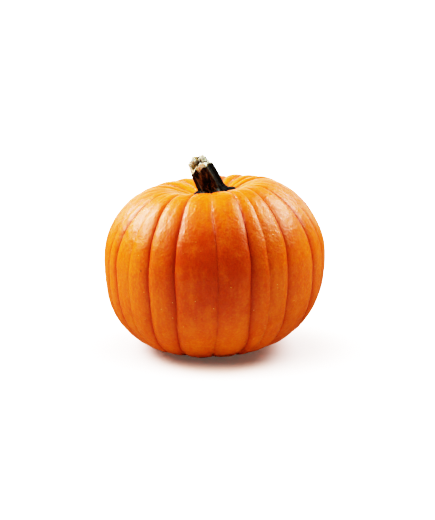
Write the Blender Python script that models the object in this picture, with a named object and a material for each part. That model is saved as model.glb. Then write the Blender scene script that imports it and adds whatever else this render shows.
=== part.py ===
# A whole pumpkin, as picked: one ribbed fruit, its dry fluted stem and the pale wood torn open at its end.
# Metres, +Z up. The fruit stands on a small flat spot at z = 0, and its front faces -Y.
# Bearings are degrees round the fruit as seen from above: 0 is the front, 90 is +X.

import math
import random

import bmesh
import bpy
from mathutils import Vector
from mathutils.bvhtree import BVHTree

# Fruit: overall form
FRUIT_WIDTH = 0.251
TOP_HEIGHT = 0.0999  # from the widest level up to where the shoulders would meet without the crown hollow
BOTTOM_HEIGHT = 0.1096
TOP_FULLNESS = 1.96  # 2 is an ellipse, and more is squarer
BOTTOM_FULLNESS = 2.66
CROWN_HOLLOW_DEPTH = 0.0361
CROWN_HOLLOW_RADIUS = 0.0477
BLOSSOM_HOLLOW_DEPTH = 0.0050
BLOSSOM_HOLLOW_RADIUS = 0.0120
FLAT_SPOT_RISE = 0.0015  # how much of the bottom is worn flat by the fruit's own weight

# Fruit: lopsided growth
SIDE_TILT = 0.028  # rise per metre towards +X
CROWN_TILT = 0.107  # extra rise towards +X, on the crown only
CROWN_TILT_RADIUS = 0.075
SIDE_LEAN = 0.013  # the top leans this much towards -X for each metre of height
SIDE_BOW = 0.40  # both ends are bowed towards -X, per metre of height squared

# Fruit: ribs
CREASE_DEPTH = 0.0020
CREASE_SHARPNESS = 0.0026  # distance over which the narrow part of a crease dies away
CREASE_SHARE = 0.60  # the rest of the depth is a broad dip
DIP_REACH = 0.0085
NARROW_LIMIT = 0.10  # neither part of a crease is wider than this share of its rib
DIP_LIMIT = 0.30
RIB_CROWN = 0.0006  # how far a rib stands out between its two creases
RIB_CROWN_VARIATION = 0.35
SHOULDER_RADIUS = 0.058
SHOULDER_REACH = 0.030
SHOULDER_DEEPENING = 0.25
FULL_DEPTH_RIB = 0.016  # a rib narrower than this has shallower creases
POLE_FADE_RADIUS = 0.018
RIB_SEED = 11

# bearing, strength, drift towards the crown, drift towards the blossom end
FRONT_FURROWS = [
    (-100.5, 1.00, -1.0, 0.0),
    (-80.5, 0.75, 0.0, 1.0),
    (-67.0, 0.70, 2.0, 5.0),
    (-58.0, 1.00, 5.0, 9.0),
    (-46.0, 0.25, 1.0, 3.0),
    (-33.5, 1.00, -3.0, -4.0),
    (-18.5, 1.10, -2.0, -4.5),
    (1.5, 0.50, -2.0, -0.5),
    (18.0, 1.00, 3.5, 4.5),
    (27.0, 0.30, 3.5, 4.5),
    (38.5, 0.80, 4.0, 5.0),
    (58.5, 1.00, -0.5, 6.0),
    (71.5, 0.60, -5.0, 2.0),
    (89.0, 1.00, -14.0, 0.0),
]
BACK_FURROW_COUNT = 8
BACK_BEARING_JITTER = 2.2
BACK_STRENGTHS = (0.55, 1.1)
BACK_DRIFT = 3.0

# Fruit: mesh
RINGS = 30
CREASE_EDGE = 0.09  # share of a rib's width
RIB_FLANK = 0.27
RIB_COLUMNS = (0.0, CREASE_EDGE, RIB_FLANK, 0.5, 1 - RIB_FLANK, 1 - CREASE_EDGE)
POLE_CROWDING = 0.035
SLOPE_STEP = 0.001  # radians to each side where the profile's slope is read
NARROWEST_RIB = 1e-6  # a rib's width is taken as at least this, because it is nothing at the poles

# Stem
PROBE_HEIGHT = 1.0  # rays that look for the skin start this high
STEM_GAP = 0.0004  # clearance between the stem's foot and the fruit
FOOT_PROBE = 0.0007  # the foot clears the highest skin found this far to each side
STEM_RADIUS = 0.0125
STEM_FOOT = (-0.0024, 0.0)  # from the fruit's own axis
STEM_END = (-0.0140, -0.0067, 0.0977)  # from the middle of the fruit's widest level
STEM_FOOT_DIRECTION = (-0.06, 0.0, 1.0)
STEM_END_DIRECTION = (-0.402, -0.347, 0.847)
FOOT_HANDLE = 0.008  # how far the stem runs straight up before it bends
END_HANDLE = 0.018
FOOT_SWELL = 0.12  # the column is this much thicker at its foot than at its end
COLUMN_START = 0.58  # share of the stem's length taken by its spread foot
RIDGE_BEARINGS = (-98.0, -33.0, 24.0, 92.0, 165.0)
RIDGE_HEIGHT = 0.0016
RIDGE_SPREAD = 17.0
GROOVE_DEPTH = 0.0007
TOE_REACH = (0.0065, 0.0050, 0.0055, 0.0095, 0.0070)  # how far each ridge's toe runs out along the fruit
TOE_SPREAD = 20.0
FOOT_FLARE = 0.0016
TOE_THICKNESS = 0.0026
FOOT_UNDERSIDE = (0.35, 0.70, 1.0)  # rings of the foot's underside, as shares of the way out
# share of the way out to a toe's tip, height over the fruit in toe thicknesses
FOOT_SLOPE = [(0.96, 0.6), (0.72, 1.25), (0.40, 1.9), (0.16, 2.7)]
STEM_COLUMNS = 45
STEM_LEVELS = 5

# Torn end of the stem: bearing, height of the bark's ragged edge past STEM_END
BARK_EDGE = [
    (-172.0, 0.0080),
    (-150.0, 0.0062),
    (-125.0, 0.0030),
    (-108.0, -0.0026),
    (-84.0, -0.0034),
    (-70.0, -0.0004),
    (-46.0, 0.0038),
    (-36.0, 0.0066),
    (-29.0, 0.0038),
    (-16.0, 0.0049),
    (3.0, 0.0066),
    (20.0, 0.0082),
    (38.0, 0.0082),
    (62.0, 0.0056),
    (90.0, 0.0010),
    (115.0, 0.0018),
    (140.0, 0.0056),
    (160.0, 0.0062),
]
# bearing, height of the torn wood's ragged rim past STEM_END
WOOD_RIM = [
    (-165.0, 0.0138),
    (-140.0, 0.0112),
    (-114.0, 0.0126),
    (-90.0, 0.0094),
    (-66.0, 0.0044),
    (-40.0, 0.0052),
    (-12.0, 0.0058),
    (20.0, 0.0076),
    (48.0, 0.0080),
    (80.0, 0.0048),
    (108.0, 0.0078),
    (135.0, 0.0126),
    (160.0, 0.0104),
]
BARK_THICKNESS = 0.0016
WOOD_GAP = 0.0004
SOCKET_DEPTH = 0.0022
# across, forward, radius, depth below the rim
WOOD_HOLLOWS = [
    (-0.0026, 0.0018, 0.0044, 0.0052),
    (0.0050, 0.0035, 0.0026, 0.0024),
]
HOLLOW_STEEPNESS = 4
WOOD_FACE_SINK = 0.0024
WOOD_FACE_CURVE = 1.5  # over 1, the rim's ups and downs are kept near the rim
WOOD_COLUMNS = 36
WOOD_RINGS = 5

FRUIT_COLOUR = (0.80, 0.20, 0.004, 1.0)
BARK_COLOUR = (0.021, 0.016, 0.009, 1.0)
WOOD_COLOUR = (0.80, 0.68, 0.40, 1.0)


def around(bearing_a, bearing_b):
    """The shorter way round from one bearing to another, in degrees."""
    return (bearing_b - bearing_a + 180.0) % 360.0 - 180.0


def read_outline(points, bearing):
    """Height on a closed outline of (bearing, height) points, with straight runs between them."""
    bearing = (bearing - points[0][0]) % 360.0 + points[0][0]
    closed = points + [(points[0][0] + 360.0, points[0][1])]
    for (low, height), (high, next_height) in zip(closed, closed[1:]):
        if bearing <= high:
            share = (bearing - low) / (high - low)
            return height + (next_height - height) * share
    return closed[-1][1]


def furrow_list():
    """The front's furrows, then the back's, which are spread evenly with a seeded jitter."""
    draw = random.Random(RIB_SEED)
    furrows = list(FRONT_FURROWS)
    start = FRONT_FURROWS[-1][0]
    span = FRONT_FURROWS[0][0] + 360.0 - start
    for number in range(1, BACK_FURROW_COUNT + 1):
        bearing = start + span * number / (BACK_FURROW_COUNT + 1)
        bearing += draw.uniform(-BACK_BEARING_JITTER, BACK_BEARING_JITTER)
        strength = draw.uniform(*BACK_STRENGTHS)
        crown_drift = draw.uniform(-BACK_DRIFT, BACK_DRIFT)
        blossom_drift = draw.uniform(-BACK_DRIFT, BACK_DRIFT)
        furrows.append((bearing, strength, crown_drift, blossom_drift))
    return furrows


def rib_crowns(count):
    draw = random.Random(RIB_SEED + 1)
    low, high = 1 - RIB_CROWN_VARIATION, 1 + RIB_CROWN_VARIATION
    return [RIB_CROWN * draw.uniform(low, high) for _ in range(count)]


def furrow_bearing(furrow, polar):
    bearing, _, crown_drift, blossom_drift = furrow
    height = math.cos(polar)
    drift = crown_drift if height > 0 else blossom_drift
    return bearing + drift * height * height


def profile(polar):
    """Radius and height of the smooth fruit at a polar angle, which is 0 at the crown."""
    across, up = math.sin(polar), math.cos(polar)
    if up > 0:
        radius = FRUIT_WIDTH / 2 * across ** (2 / TOP_FULLNESS)
        height = TOP_HEIGHT * up ** (2 / TOP_FULLNESS)
        return radius, height - CROWN_HOLLOW_DEPTH * math.exp(-((radius / CROWN_HOLLOW_RADIUS) ** 2))
    radius = FRUIT_WIDTH / 2 * across ** (2 / BOTTOM_FULLNESS)
    height = -BOTTOM_HEIGHT * (-up) ** (2 / BOTTOM_FULLNESS)
    return radius, height + BLOSSOM_HOLLOW_DEPTH * math.exp(-((radius / BLOSSOM_HOLLOW_RADIUS) ** 2))


def crease(distance, rib_width):
    """Share of a crease's full depth at a distance from its bottom."""
    sharpness = min(CREASE_SHARPNESS, NARROW_LIMIT * rib_width)
    reach = min(DIP_REACH, DIP_LIMIT * rib_width)
    narrow = math.exp(-distance / sharpness)
    broad = math.exp(-((distance / reach) ** 2))
    return CREASE_SHARE * narrow + (1 - CREASE_SHARE) * broad


def crease_depth(radius, rib_width, polar):
    depth = CREASE_DEPTH * min(rib_width / FULL_DEPTH_RIB, 1.0)
    if polar < math.pi / 2:
        depth *= 1 + SHOULDER_DEEPENING * math.exp(-(((radius - SHOULDER_RADIUS) / SHOULDER_REACH) ** 2))
    return depth * (1 - math.exp(-((radius / POLE_FADE_RADIUS) ** 2)))


def fruit_point(left, right, share, crown, polar):
    """A point of the ribbed skin, at a share of the way from one furrow to the next."""
    radius, height = profile(polar)
    start, end = furrow_bearing(left, polar), furrow_bearing(right, polar)
    rib_width = max(radius * math.radians(end - start), NARROWEST_RIB)
    cut = left[1] * crease(share * rib_width, rib_width)
    cut += right[1] * crease((1 - share) * rib_width, rib_width)
    fade = 1 - math.exp(-((radius / POLE_FADE_RADIUS) ** 2))
    relief = -crease_depth(radius, rib_width, polar) * cut - crown * fade * (2 * share - 1) ** 2
    before = profile(max(polar - SLOPE_STEP, 0.0))
    after = profile(min(polar + SLOPE_STEP, math.pi))
    slope = Vector((after[0] - before[0], after[1] - before[1])).normalized()
    radius += relief * -slope.y
    height += relief * slope.x
    bearing = math.radians(start + (end - start) * share)
    x, y = radius * math.sin(bearing), -radius * math.cos(bearing)
    rise = SIDE_TILT * x
    if height > 0:
        rise += CROWN_TILT * x * math.exp(-((radius / CROWN_TILT_RADIUS) ** 2))
    x -= SIDE_LEAN * height + SIDE_BOW * height * height
    return Vector((x, y, height + rise))


def new_object(name, bm, material, collection):
    mesh = bpy.data.meshes.new(name)
    bm.to_mesh(mesh)
    bm.free()
    mesh.shade_smooth()
    mesh.materials.append(material)
    obj = bpy.data.objects.new(name, mesh)
    collection.objects.link(obj)
    return obj


def new_material(name, colour, roughness):
    material = bpy.data.materials.new(name)
    material.use_nodes = True
    shader = material.node_tree.nodes["Principled BSDF"]
    shader.inputs["Base Color"].default_value = colour
    shader.inputs["Roughness"].default_value = roughness
    shader.inputs["Metallic"].default_value = 0.0
    return material


def warp_sphere():
    """A UV sphere whose columns are moved onto the furrows and whose rings follow the fruit's profile."""
    furrows = furrow_list()
    crowns = rib_crowns(len(furrows))
    per_rib = len(RIB_COLUMNS)
    columns = per_rib * len(furrows)
    bm = bmesh.new()
    bmesh.ops.create_uvsphere(bm, u_segments=columns, v_segments=RINGS, radius=1.0)
    for vert in bm.verts:
        ring = math.acos(min(max(vert.co.z, -1.0), 1.0)) / math.pi
        polar = math.pi * (ring - POLE_CROWDING * math.sin(2 * math.pi * ring))
        turn = math.atan2(vert.co.x, -vert.co.y) / (2 * math.pi)
        column = round(turn * columns) % columns
        rib = column // per_rib
        left, right = furrows[rib], furrows[(rib + 1) % len(furrows)]
        if rib + 1 == len(furrows):
            right = (right[0] + 360.0, *right[1:])
        vert.co = fruit_point(left, right, RIB_COLUMNS[column % per_rib], crowns[rib], polar)
    return bm


def settle(bm):
    """Wears the flat spot and puts the fruit's box over the origin. Returns how far it moved."""
    floor = -BOTTOM_HEIGHT + FLAT_SPOT_RISE
    for vert in bm.verts:
        vert.co.z = max(vert.co.z, floor)
    xs = [vert.co.x for vert in bm.verts]
    ys = [vert.co.y for vert in bm.verts]
    move = Vector((-(min(xs) + max(xs)) / 2, -(min(ys) + max(ys)) / 2, -floor))
    bmesh.ops.translate(bm, verts=bm.verts, vec=move)
    bmesh.ops.recalc_face_normals(bm, faces=bm.faces)
    return move


def loft(rings, top, bottom):
    """A closed skin through rings of equal count, with a point to close each end."""
    bm = bmesh.new()
    rows = [[bm.verts.new(co) for co in ring] for ring in rings]
    count = len(rows[0])
    for low, high in zip(rows, rows[1:]):
        for i in range(count):
            j = (i + 1) % count
            bm.faces.new((low[i], low[j], high[j], high[i]))
    for row, point in ((rows[0], bottom), (rows[-1], top)):
        tip = bm.verts.new(point)
        for i in range(count):
            bm.faces.new((row[i], row[(i + 1) % count], tip))
    bmesh.ops.recalc_face_normals(bm, faces=bm.faces)
    return bm


class StemPath:
    """The stem's curved middle line, and the two directions across it."""

    def __init__(self, foot, end):
        self.start = foot
        self.end = end
        self.first_handle = foot + Vector(STEM_FOOT_DIRECTION).normalized() * FOOT_HANDLE
        self.last_handle = end - Vector(STEM_END_DIRECTION).normalized() * END_HANDLE

    def at(self, share):
        rest = 1 - share
        point = self.start * rest**3 + self.first_handle * (3 * rest * rest * share)
        point += self.last_handle * (3 * rest * share * share) + self.end * share**3
        along = (self.first_handle - self.start) * (rest * rest)
        along += (self.last_handle - self.first_handle) * (2 * rest * share)
        along += (self.end - self.last_handle) * (share * share)
        return point, along.normalized()

    def place(self, share, bearing, radius, past=0.0):
        """A point at a radius from the middle line, and a length past its end."""
        point, along = self.at(share)
        right = (Vector((1.0, 0.0, 0.0)) - along * along.x).normalized()
        back = along.cross(right)
        angle = math.radians(bearing)
        return point + along * past + (right * math.sin(angle) - back * math.cos(angle)) * radius


def bump(bearing, centre, spread):
    return math.exp(-((around(centre, bearing) / spread) ** 2))


def column_radius(bearing, share):
    """Radius of the fluted column: five ridges with shallow grooves between them."""
    ridges = sum(bump(bearing, centre, RIDGE_SPREAD) for centre in RIDGE_BEARINGS)
    swollen = STEM_RADIUS * (1 + FOOT_SWELL * (1 - share) ** 2)
    return swollen - GROOVE_DEPTH + (RIDGE_HEIGHT + GROOVE_DEPTH) * min(ridges, 1.0) - RIDGE_HEIGHT / 2


def toe_radius(bearing):
    radius = column_radius(bearing, 0.0) + FOOT_FLARE
    for centre, reach in zip(RIDGE_BEARINGS, TOE_REACH):
        radius += reach * bump(bearing, centre, TOE_SPREAD)
    return radius


def skin_height(fruit_tree, x, y):
    """Height of the fruit's skin straight below a point above it."""
    return fruit_tree.ray_cast(Vector((x, y, PROBE_HEIGHT)), Vector((0.0, 0.0, -1.0)))[0].z


def build_stem(fruit_tree, path):
    """The foot is draped over the crown hollow, and the column rises out of it to the bark's ragged edge."""
    bearings = [360.0 * i / STEM_COLUMNS for i in range(STEM_COLUMNS)]
    centre = path.start

    def on_fruit(x, y, above):
        heights = [skin_height(fruit_tree, x, y)]
        for side in (-FOOT_PROBE, FOOT_PROBE):
            for front in (-FOOT_PROBE, FOOT_PROBE):
                heights.append(skin_height(fruit_tree, x + side, y + front))
        return Vector((x, y, max(heights) + STEM_GAP + above))

    def drape(radius_of, above):
        ring = []
        for bearing in bearings:
            angle, radius = math.radians(bearing), radius_of(bearing)
            x, y = centre.x + radius * math.sin(angle), centre.y - radius * math.cos(angle)
            ring.append(on_fruit(x, y, above))
        return ring

    def underside(share):
        return lambda bearing: toe_radius(bearing) * share

    def part_way(share):
        return lambda bearing: toe_radius(bearing) * share + column_radius(bearing, 0.0) * (1 - share)

    rings = [drape(underside(share), 0.0) for share in FOOT_UNDERSIDE]
    for share, above in FOOT_SLOPE:
        rings.append(drape(part_way(share), TOE_THICKNESS * above))
    for level in range(STEM_LEVELS):
        share = COLUMN_START + (1 - COLUMN_START) * level / STEM_LEVELS
        rings.append([path.place(share, b, column_radius(b, share)) for b in bearings])

    edge = [read_outline(BARK_EDGE, b) for b in bearings]
    outer = [column_radius(b, 1.0) for b in bearings]
    inner = [radius - BARK_THICKNESS for radius in outer]
    socket = [height - SOCKET_DEPTH for height in edge]
    floor = sum(socket) / len(socket)
    half_radii = [radius / 2 for radius in inner]
    half_depths = [(height + floor) / 2 for height in socket]
    for radii, heights in ((outer, edge), (inner, edge), (inner, socket), (half_radii, half_depths)):
        rings.append([path.place(1.0, b, r, past) for b, r, past in zip(bearings, radii, heights)])
    return loft(rings, path.place(1.0, 0.0, 0.0, floor), on_fruit(centre.x, centre.y, 0.0))


def wood_top(bearing, share):
    """Height of the torn face: a ragged rim with a hollow pocket in it."""
    rim = read_outline(WOOD_RIM, bearing)
    middle = sum(height for _, height in WOOD_RIM) / len(WOOD_RIM)
    height = middle + (rim - middle) * share**WOOD_FACE_CURVE - WOOD_FACE_SINK * (1 - share)
    radius = share * (STEM_RADIUS - BARK_THICKNESS)
    across, forward = radius * math.sin(math.radians(bearing)), radius * math.cos(math.radians(bearing))
    for side, front, reach, depth in WOOD_HOLLOWS:
        away = math.hypot(across - side, forward - front) / reach
        height -= depth * math.exp(-(away**HOLLOW_STEEPNESS))
    return height


def build_torn_wood(path):
    """A plug of wood in the bark's socket. Its underside follows the socket's floor at a small gap."""
    bearings = [360.0 * i / WOOD_COLUMNS for i in range(WOOD_COLUMNS)]
    floors = [read_outline(BARK_EDGE, b) - SOCKET_DEPTH + WOOD_GAP for b in bearings]
    floor = sum(floors) / len(floors)
    radii = [column_radius(b, 1.0) - BARK_THICKNESS - WOOD_GAP for b in bearings]
    rings = [[path.place(1.0, b, r / 2, (low + floor) / 2) for b, r, low in zip(bearings, radii, floors)]]
    rings.append([path.place(1.0, b, r, low) for b, r, low in zip(bearings, radii, floors)])
    for ring in range(WOOD_RINGS, 0, -1):
        share = ring / WOOD_RINGS
        rings.append([path.place(1.0, b, r * share, wood_top(b, share)) for b, r in zip(bearings, radii)])
    return loft(rings, path.place(1.0, 0.0, 0.0, wood_top(0.0, 0.0)), path.place(1.0, 0.0, 0.0, floor))


def main():
    for obj in list(bpy.data.objects):
        bpy.data.objects.remove(obj, do_unlink=True)
    pumpkin = bpy.data.collections.new("pumpkin")
    bpy.context.scene.collection.children.link(pumpkin)

    fruit = warp_sphere()
    move = settle(fruit)
    tree = BVHTree.FromBMesh(fruit)
    foot_x, foot_y = STEM_FOOT[0] + move.x, STEM_FOOT[1] + move.y
    foot = Vector((foot_x, foot_y, skin_height(tree, foot_x, foot_y)))
    path = StemPath(foot, Vector(STEM_END) + move)

    new_object("stem", build_stem(tree, path), new_material("dry bark", BARK_COLOUR, 0.6), pumpkin)
    new_object("stem_torn_end", build_torn_wood(path), new_material("torn wood", WOOD_COLOUR, 0.85), pumpkin)
    new_object("fruit", fruit, new_material("waxy orange rind", FRUIT_COLOUR, 0.35), pumpkin)


main()
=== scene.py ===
import math
import random
from functools import partial

import bmesh
import bpy
import numpy as np
from mathutils import Matrix, Vector
from mathutils.bvhtree import BVHTree
from mathutils.noise import noise as smoothNoise


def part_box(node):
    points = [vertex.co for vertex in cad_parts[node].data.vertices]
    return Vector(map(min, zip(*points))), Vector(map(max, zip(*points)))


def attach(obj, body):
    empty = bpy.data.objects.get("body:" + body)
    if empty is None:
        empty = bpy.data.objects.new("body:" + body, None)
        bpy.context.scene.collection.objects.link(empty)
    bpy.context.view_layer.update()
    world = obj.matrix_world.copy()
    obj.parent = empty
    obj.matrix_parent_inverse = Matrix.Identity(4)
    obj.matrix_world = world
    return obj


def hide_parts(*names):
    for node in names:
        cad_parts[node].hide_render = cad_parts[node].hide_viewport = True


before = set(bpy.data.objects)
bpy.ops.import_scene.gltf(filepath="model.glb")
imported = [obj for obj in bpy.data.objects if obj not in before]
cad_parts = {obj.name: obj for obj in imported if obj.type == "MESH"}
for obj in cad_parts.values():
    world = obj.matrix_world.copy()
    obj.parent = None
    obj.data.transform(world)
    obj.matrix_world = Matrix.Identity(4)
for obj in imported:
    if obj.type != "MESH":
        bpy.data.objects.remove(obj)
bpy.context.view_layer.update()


# Helpers for node trees and meshes

def linear(hexColour):
    # sRGB hex to the linear colour that a shader takes
    channels = [int(hexColour[i:i + 2], 16) / 255 for i in (1, 3, 5)]
    return tuple(c / 12.92 if c <= 0.04045 else ((c + 0.055) / 1.055) ** 2.4 for c in channels) + (1.0,)


def setInputs(node, inputs):
    # by name or number: a socket is linked, and anything else becomes the input's own value
    for name, value in inputs.items():
        if isinstance(value, bpy.types.NodeSocket):
            node.id_data.links.new(value, node.inputs[name])
        else:
            node.inputs[name].default_value = value


def addNode(tree, kind, inputs=None, give=0, **settings):
    # adds one node with its settings and inputs, and returns the output that give picks
    node = tree.nodes.new(kind)
    for name, value in settings.items():
        setattr(node, name, value)
    setInputs(node, inputs or {})
    return node.outputs[give] if node.outputs else node


def newMaterial(name, sockets):
    # a Principled material with the values that are the same all over the surface
    material = bpy.data.materials.new(name)
    material.use_nodes = True
    shader = material.node_tree.nodes["Principled BSDF"]
    setInputs(shader, sockets)
    return material, partial(addNode, material.node_tree), shader


def patternMask(add, place, size, low, high, share=1.0, detail=2.0, squash=1.0):
    # soft noise of a real size in metres, squashed along Z, as a mask from 0 to its share between two levels
    scaled = add("ShaderNodeMapping", {"Vector": place, "Scale": (1 / size, 1 / size, squash / size)})
    grain = add("ShaderNodeTexNoise", {"Vector": scaled, "Scale": 1.0, "Detail": detail})
    limits = {"Value": grain, "From Min": low, "From Max": high, "To Max": share}
    return add("ShaderNodeMapRange", limits, interpolation_type="SMOOTHSTEP")


def spotMask(add, place, spacing, outer, inner, rarity, channel, share=1.0):
    # round spots in a few of the cells of a pattern; their outer and inner edges are shares of the spacing
    cells = add("ShaderNodeTexVoronoi", {"Vector": place, "Scale": 1 / spacing}).node
    limits = {"Value": cells.outputs["Distance"], "From Min": outer, "From Max": inner, "To Max": share}
    spot = add("ShaderNodeMapRange", limits)
    chance = add("ShaderNodeSeparateColor", {"Color": cells.outputs["Color"]}, give=channel)
    chosen = add("ShaderNodeMath", {0: chance, 1: rarity}, operation="GREATER_THAN")
    return add("ShaderNodeMath", {0: spot, 1: chosen}, operation="MULTIPLY")


socketKinds = {
    float: "NodeSocketFloat",
    int: "NodeSocketInt",
    str: "NodeSocketString",
    Vector: "NodeSocketVector",
    bpy.types.Material: "NodeSocketMaterial",
}


def newTree(name, sizes):
    # a Geometry Nodes tree with a named input for each size, and its input sockets by name
    tree = bpy.data.node_groups.new(name, "GeometryNodeTree")
    tree.interface.new_socket("Geometry", in_out="INPUT", socket_type="NodeSocketGeometry")
    for label, value in sizes.items():
        tree.interface.new_socket(label, in_out="INPUT", socket_type=socketKinds[type(value)])
    tree.interface.new_socket("Geometry", in_out="OUTPUT", socket_type="NodeSocketGeometry")
    source = tree.nodes.new("NodeGroupInput")
    return tree, partial(addNode, tree), {socket.name: socket for socket in source.outputs}


def unevenness(add, place, scale, detail, depth):
    # noise about zero, of a given depth
    noise = add("ShaderNodeTexNoise", {"Vector": place, "Scale": scale, "Detail": detail})
    noise = add("ShaderNodeMath", {0: noise, 1: 0.5}, operation="SUBTRACT")
    return add("ShaderNodeMath", {0: noise, 1: depth}, operation="MULTIPLY")


def pushOut(add, geometry, amount):
    # moves a surface along its normals
    outwards = add("GeometryNodeInputNormal")
    push = add("ShaderNodeVectorMath", {0: outwards, "Scale": amount}, operation="SCALE")
    return add("GeometryNodeSetPosition", {"Geometry": geometry, "Offset": push})


def finishTree(add, geometry, material):
    real = add("GeometryNodeRealizeInstances", {"Geometry": geometry})
    smooth = add("GeometryNodeSetShadeSmooth", {"Geometry": real, "Shade Smooth": True})
    dressed = add("GeometryNodeSetMaterial", {"Geometry": smooth, "Material": material})
    add("NodeGroupOutput", {"Geometry": dressed})


def runTree(piece, tree, sizes):
    # runs the tree on a piece and keeps the result as the piece's own plain mesh
    modifier = piece.modifiers.new(tree.name, "NODES")
    modifier.node_group = tree
    for item in tree.interface.items_tree:
        if item.in_out == "INPUT" and item.name in sizes:
            modifier[item.identifier] = sizes[item.name]
    depsgraph = bpy.context.evaluated_depsgraph_get()
    grown = bpy.data.meshes.new_from_object(
        piece.evaluated_get(depsgraph), preserve_all_data_layers=True, depsgraph=depsgraph)
    piece.modifiers.clear()
    piece.data = grown
    return piece


def meshFrom(bm, name):
    mesh = bpy.data.meshes.new(name)
    bm.to_mesh(mesh)
    bm.free()
    return mesh


def placesOf(mesh):
    places = np.empty(len(mesh.vertices) * 3)
    mesh.vertices.foreach_get("co", places)
    return places.reshape(-1, 3)


def newPiece(name, mesh):
    piece = bpy.data.objects.new(name, mesh)
    bpy.context.scene.collection.objects.link(piece)
    return piece


def storeField(mesh, name, values):
    # one value or vector for each vertex, which node trees and materials read by name
    values = np.asarray(values, np.float32)
    if values.ndim == 1:
        mesh.attributes.new(name, "FLOAT", "POINT").data.foreach_set("value", values)
    else:
        mesh.attributes.new(name, "FLOAT_VECTOR", "POINT").data.foreach_set("vector", values.ravel())


def loftMesh(name, rings, bottom, top, fields=()):
    # a closed skin through rings of equal count, with a point that closes each end
    bm = bmesh.new()
    layers = [bm.verts.layers.float_vector.new(field) for field in fields]
    rows = []
    for ring in list(rings) + [[bottom], [top]]:
        row = []
        for vertex in ring:
            place, *extras = vertex if isinstance(vertex, tuple) else (vertex,)
            row.append(bm.verts.new(place))
            for layer, extra in zip(layers, extras):
                row[-1][layer] = extra
        rows.append(row)
    tips = rows[-2][0], rows[-1][0]
    rows = rows[:-2]
    count = len(rows[0])
    for low, high in zip(rows, rows[1:]):
        for i in range(count):
            j = (i + 1) % count
            bm.faces.new((low[i], low[j], high[j], high[i]))
    for row, tip in ((rows[0], tips[0]), (rows[-1], tips[1])):
        for i in range(count):
            bm.faces.new((row[i], row[(i + 1) % count], tip))
    bmesh.ops.recalc_face_normals(bm, faces=bm.faces)
    return meshFrom(bm, name)


# Camera: the photograph's angle, looking slightly down at the front

camera = {
    "aim": (0.0003, -0.0001, 0.1081),  # middle of the fruit's widest level
    "distance": 1.0,
    "downwards": 14.35,  # degrees
    "lens": 60.68,  # mm on a 36 mm sensor
    "shift": (0.00579, -0.01362),  # the fruit stands a little off the frame's middle
}


def setCamera():
    data = bpy.data.cameras.new("camera")
    data.lens = camera["lens"]
    data.sensor_width = 36.0
    data.shift_x, data.shift_y = camera["shift"]
    data.clip_end = 20.0
    eye = bpy.data.objects.new("camera", data)
    bpy.context.scene.collection.objects.link(eye)
    tilt = math.radians(camera["downwards"])
    back = Vector((0.0, -math.cos(tilt), math.sin(tilt))) * camera["distance"]
    eye.location = Vector(camera["aim"]) + back
    eye.rotation_euler = (math.pi / 2 - tilt, 0.0, 0.0)
    bpy.context.scene.camera = eye


setCamera()


# Fruit: a smooth lopsided body, which the rib relief tree turns into the ribbed rind

fruitShape = {
    "width": 0.251,
    "topHeight": 0.0999,  # above the widest level, before the crown hollow
    "bottomHeight": 0.1096,
    "topFullness": 1.96,  # 2 is an ellipse, and more is squarer
    "bottomFullness": 2.66,
    "crownHollow": (0.0361, 0.0477),  # depth, radius
    "blossomHollow": (0.0050, 0.0120),
    "flatSpotRise": 0.0015,
    "sideTilt": 0.028,  # rise from left to right
    "crownTilt": 0.107,  # the same, near the crown only
    "crownTiltRadius": 0.075,
    "sideLean": 0.013,  # the body leans to the left with height, and bows
    "sideBow": 0.40,
    "rings": 216,
    "poleCrowding": 0.035,  # how far the rings crowd towards both ends
    "columnsPerRib": 20,
    "creaseCrowding": 0.72,  # how far the columns crowd towards the creases
}

ribs = {
    "ribCrown": 0.0005,
    "ribCrownVariation": 0.35,
    "shoulder": (0.058, 0.030),  # radius, reach
    "shoulderDeepening": (-0.10, -0.32),  # all round, and more at the front
    "overlap": 0.48,  # each front rib laps a little over the next one outwards
    "overlapTurn": 12.0,  # degrees from the front over which this sets in
    "backOverlap": 0.3,
    "fullDepthRib": 0.016,  # narrower ribs have shallower creases
    "poleFade": 0.018,  # radius in which the relief fades out
    "wander": 0.42,  # degrees
    "waves": ((3.1, 1.0), (7.3, 0.5), (15.7, 0.35)),  # of the wander: waves from pole to pole, and share
    "faintReach": 0.0028,
    "seed": 11,
    "backCount": 8,
    "backJitter": 2.2,  # degrees
    "backStrengths": (0.55, 1.1),
    "backDrift": 3.0,  # degrees
}

# bearing, strength, drift towards the crown, drift towards the blossom end
frontFurrows = [
    (-100.5, 1.00, -1.0, 0.0),
    (-80.5, 0.75, 0.0, 1.0),
    (-67.0, 0.70, 2.0, 5.0),
    (-58.0, 1.00, 5.0, 9.0),
    (-46.0, 0.25, 1.0, 3.0),
    (-33.5, 1.00, -3.0, -4.0),
    (-18.5, 1.10, -2.0, -4.5),
    (1.5, 0.50, -2.0, -0.5),
    (18.0, 1.00, 3.5, 4.5),
    (27.0, 0.30, 3.5, 4.5),
    (38.5, 0.80, 4.0, 5.0),
    (58.5, 1.00, -0.5, 6.0),
    (71.5, 0.60, -5.0, 2.0),
    (89.0, 1.00, -14.0, 0.0),
]

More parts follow.
